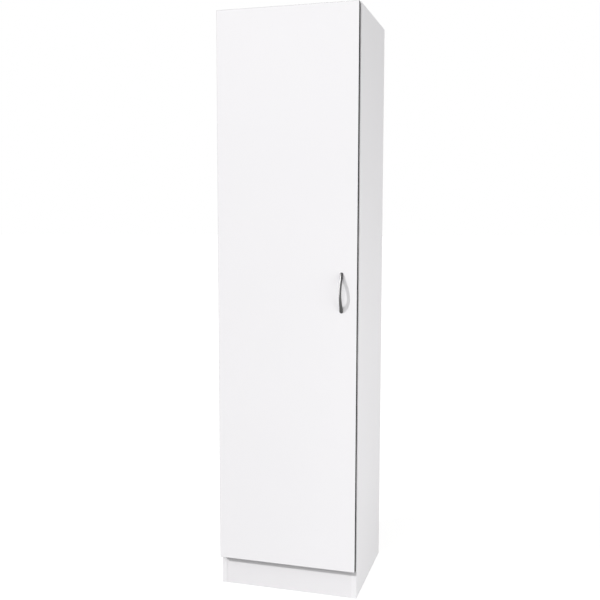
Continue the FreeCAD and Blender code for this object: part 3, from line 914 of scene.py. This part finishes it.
def cup_mesh():
    """All cups: a pressed shell, its winged flange and the two cheeks that hold the pin."""
    mesh = bmesh.new()
    for low, high in solids("hinge_cups"):
        middle = Vector((low.x + CUP_OUTER * MM, high.y - CUP_FLANGE * MM, (low.z + high.z) / 2))

        def at(x, y, z):
            return middle + Vector((x, y, z)) * MM

        def on_door(x, z, y):
            return at(x, y, z)

        shell(mesh, cup_profile(), on_door, CUP_SIDES)
        holes = [circle(CUP_HOLE, HOLE_SIDES, (CUP_HOLE_X, side * CUP_HOLE_Z)) for side in (-1, 1)]
        sheet(mesh, cup_outline(), holes, on_door, CUP_FLANGE)
        for base in (-CHEEK_NEAR - CHEEK_THICK, CHEEK_NEAR):
            sheet(mesh, cheek_outline(), [], lambda x, y, lift: at(x, y, base + lift), CHEEK_THICK)
    bmesh.ops.recalc_face_normals(mesh, faces=mesh.faces)
    flattened(mesh, CUP_FLAT_WITHIN)
    return mesh_data(mesh, "hinge_cups_pressed")


def add_hinge_cups():
    pressed = rounded(cup_mesh(), CUP_ROUNDING, CUP_ROUNDING_STEPS)
    add_piece("hinge_cups_pressed", pressed, NICKEL, "door", "hinge_cups")


# ---------------------------------------------------------------- bow handle
# Oval sections along an arch, which spread into two flat feet.
HANDLE_SECTIONS = 84
HANDLE_RING = 32
HANDLE_THICK = 4.0 * MM
HANDLE_OPENING = 44.0 * MM     # half the span of the finger gap
HANDLE_WAIST = 4.0 * MM        # half the width in the middle
HANDLE_TIP = 7.0 * MM          # length over which each end rounds off
HANDLE_TIP_POWER = 2.4
HANDLE_TIP_LEAST = 0.02        # keeps the last section from closing
HANDLE_EDGE = 0.4 * MM         # least depth, at the ends
FOOT_SQUARENESS = 0.45         # 1 is an oval section, and less is squarer
BOW_SQUARENESS = 0.96


def arch(half, rise, along):
    """Height of a circular arch of the given half span, at a distance from its middle."""
    if abs(along) >= half:
        return 0.0
    radius = (half * half + rise * rise) / (2 * rise)
    return math.sqrt(radius * radius - along * along) - (radius - rise)


def handle_section(middle, face, size, along):
    """One ring of points across the handle, at a distance from its middle."""
    half, rise, end = size.z / 2, size.y, size.x / 2
    outer = max(arch(half, rise, along), HANDLE_EDGE)
    inner = arch(HANDLE_OPENING, rise - HANDLE_THICK, along)
    wide = HANDLE_WAIST + (end - HANDLE_WAIST) * (along / half) ** 2
    over = max(0.0, abs(along) - (half - HANDLE_TIP)) / HANDLE_TIP
    wide *= math.sqrt(max(HANDLE_TIP_LEAST, 1 - over ** HANDLE_TIP_POWER))
    centre, thick = (outer + inner) / 2, (outer - inner) / 2
    ring = []
    for k in range(HANDLE_RING):
        turn = 2 * math.pi * k / HANDLE_RING
        c, s = math.cos(turn), math.sin(turn)
        power = FOOT_SQUARENESS if inner == 0.0 and s < 0 else BOW_SQUARENESS
        x = math.copysign(abs(c) ** power, c) * wide
        y = centre + math.copysign(abs(s) ** power, s) * thick
        ring.append((middle.x + x, face - y, middle.z + along))
    return ring


def handle_mesh():
    low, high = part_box("door_handle")
    middle, size = (low + high) / 2, high - low
    mesh = bmesh.new()
    rings = []
    for i in range(HANDLE_SECTIONS + 1):
        along = math.sin((i / HANDLE_SECTIONS - 0.5) * math.pi) * size.z / 2
        rings.append([mesh.verts.new(co) for co in handle_section(middle, high.y, size, along)])
    for one, two in zip(rings, rings[1:]):
        for k in range(HANDLE_RING):
            n = (k + 1) % HANDLE_RING
            mesh.faces.new((one[k], one[n], two[n], two[k]))
    mesh.faces.new(rings[0])
    mesh.faces.new(rings[-1])
    bmesh.ops.recalc_face_normals(mesh, faces=mesh.faces)
    data = mesh_data(mesh, "bow_handle")
    smooth(data, SMOOTH_BELOW_ROUNDED)
    return data


def add_handle():
    # the handle's near-black base colour is a painted reflection
    add_piece("bow_handle", handle_mesh(), HANDLE_METAL_PAINTED_DARK, "door", "door_handle")


# ---------------------------------------------------------------- floor and light
FULL_WHITE = (1.0, 1.0, 1.0, 1.0)
FLOOR_REACH = 60.0
FLOOR_COLOUR = 0.21
FLOOR_GLOW = 0.86          # light of the floor's own, seen and not cast
FILL_LEVEL = 0.69          # light of the world on the object; the world itself shows white
KEY_STRENGTH = 2.3
KEY_FROM = Vector((-1.2, -1.0, 1.0))
KEY_SPREAD = math.radians(1.8)
KEY_PAST_HANDLE = 0.2      # share of the key that the handle throws no shadow from

# power, width and height, place, and the point that it faces
SIDE_FILL = (28.5, (2.0, 1.2), Vector((2.4, -0.7, 0.3)), Vector((0.22, 0.0, 0.35)))
FRONT_FILL = (17.5, (1.8, 1.4), Vector((-0.8, -3.8, 3.0)), Vector((0.0, 0.0, 0.7)))
REFLECTION_CARD = (850.0, (5.2, 4.5), Vector((-3.3, -1.2, 2.1)), Vector((0.0, 0.0, 1.0)))


def seen_directly(start):
    """1 for what the camera sees, also by a reflection or through something clear, else 0."""
    camera, glossy, through = (start.node("ShaderNodeLightPath", out="Is " + kind + " Ray")
                               for kind in ("Camera", "Glossy", "Transmission"))
    return (camera + glossy + through).capped()


def stage_floor():
    """Pale floor that stands out white, and still takes the cupboard's shadow."""
    corners = [(x * FLOOR_REACH, y * FLOOR_REACH, 0) for x, y in ((-1, -1), (1, -1), (1, 1), (-1, 1))]
    data = bpy.data.meshes.new("studio_floor")
    data.from_pydata(corners, [], [(0, 1, 2, 3)])
    floor = bpy.data.objects.new("studio_floor", data)
    bpy.context.scene.collection.objects.link(floor)
    material, shader, start, place = new_material("studio_white")
    shader.inputs["Base Color"].default_value = (FLOOR_COLOUR, FLOOR_COLOUR, FLOOR_COLOUR, 1.0)
    shader.inputs["Roughness"].default_value = 1.0
    shader.inputs["Specular IOR Level"].default_value = 0.0
    glow = start.node("ShaderNodeEmission", None,
                      {"Color": FULL_WHITE, "Strength": seen_directly(start) * FLOOR_GLOW})
    lit = Wire(start.tree, shader.outputs[0])
    surface = start.node("ShaderNodeAddShader", None, {0: lit, 1: glow})
    output = next(node for node in start.tree.nodes if node.type == "OUTPUT_MATERIAL")
    feed(surface, output, "Surface")
    data.materials.append(material)


def hang(name, lamp, place, back):
    """Put a lamp in the scene, with its back turned the given way."""
    lit = bpy.data.objects.new(name, lamp)
    lit.location = place
    lit.rotation_euler = back.to_track_quat("Z", "Y").to_euler()
    bpy.context.scene.collection.objects.link(lit)
    return lit


def sunlight(name, strength):
    lamp = bpy.data.lights.new(name, "SUN")
    lamp.energy = strength
    lamp.angle = KEY_SPREAD
    return hang(name, lamp, (0, 0, 0), KEY_FROM)


def panel(name, power, size, place, aim):
    lamp = bpy.data.lights.new(name, "AREA")
    lamp.energy = power
    lamp.shape = "RECTANGLE"
    lamp.size, lamp.size_y = size
    return hang(name, lamp, place, place - aim)


def gathered(name, wanted):
    """Collection of the meshes that answer a question, for a lamp to heed."""
    group = bpy.data.collections.new(name)
    for piece in bpy.data.objects:
        if piece.type == "MESH" and wanted(piece):
            group.objects.link(piece)
    return group


def is_metal(piece):
    return bool(piece.data.materials) and piece.data.materials[0] in METALS


def studio_light():
    world = bpy.data.worlds.new("studio")
    bpy.context.scene.world = world
    world.use_nodes = True
    start = Wire(world.node_tree)
    back = next(node for node in world.node_tree.nodes if node.type == "BACKGROUND")
    back.inputs["Color"].default_value = FULL_WHITE
    feed(FILL_LEVEL + (1 - FILL_LEVEL) * seen_directly(start), back, "Strength")
    sunlight("key", KEY_STRENGTH * (1 - KEY_PAST_HANDLE))
    past = sunlight("key_past_handle", KEY_STRENGTH * KEY_PAST_HANDLE)
    past.light_linking.blocker_collection = gathered(
        "blockers", lambda piece: piece.name != "bow_handle")
    panel("side_fill", *SIDE_FILL)
    panel("front_fill", *FRONT_FILL)
    card = panel("reflection_card", *REFLECTION_CARD)
    card.visible_diffuse = False
    card.light_linking.receiver_collection = gathered("shiny", is_metal)


# ---------------------------------------------------------------- camera
CAMERA_AT = Vector((0.74903, -2.64486, 1.19198))
CAMERA_YAW, CAMERA_PITCH, CAMERA_ROLL = 0.2796, -0.0968, 0.0019
CAMERA_FOCAL = 832.542     # in pixels of a picture this wide
PICTURE_WIDTH = 600
SENSOR_WIDTH = 36.0


def studio_camera():
    """Standing to the right of the cupboard at chest height, turned and tipped slightly."""
    lens = bpy.data.cameras.new("view")
    lens.sensor_width = SENSOR_WIDTH
    lens.lens = CAMERA_FOCAL / PICTURE_WIDTH * SENSOR_WIDTH
    lens.clip_end = FLOOR_REACH
    yaw, pitch, roll = CAMERA_YAW, CAMERA_PITCH, CAMERA_ROLL
    ahead = Vector((-math.sin(yaw), math.cos(yaw), 0))
    forward = ahead * math.cos(pitch) + Vector((0, 0, math.sin(pitch)))
    right = Vector((math.cos(yaw), math.sin(yaw), 0))
    up = right.cross(forward)
    tilted = right * math.cos(roll) + up * math.sin(roll)
    upright = up * math.cos(roll) - right * math.sin(roll)
    turn = Matrix((tilted, upright, -forward)).transposed().to_4x4()
    camera = bpy.data.objects.new("view", lens)
    camera.matrix_world = Matrix.Translation(CAMERA_AT) @ turn
    bpy.context.scene.collection.objects.link(camera)
    bpy.context.scene.camera = camera


# ---------------------------------------------------------------- the cupboard and its setting
dress_nodes()
add_screws()
add_cams()
add_shelf_pins()
add_eased_fittings()
add_eased_boards()
add_eased_bands()
add_hinge_cups()
add_buffers()
add_handle()

bpy.context.scene.view_settings.view_transform = "Standard"
stage_floor()
studio_light()
studio_camera()
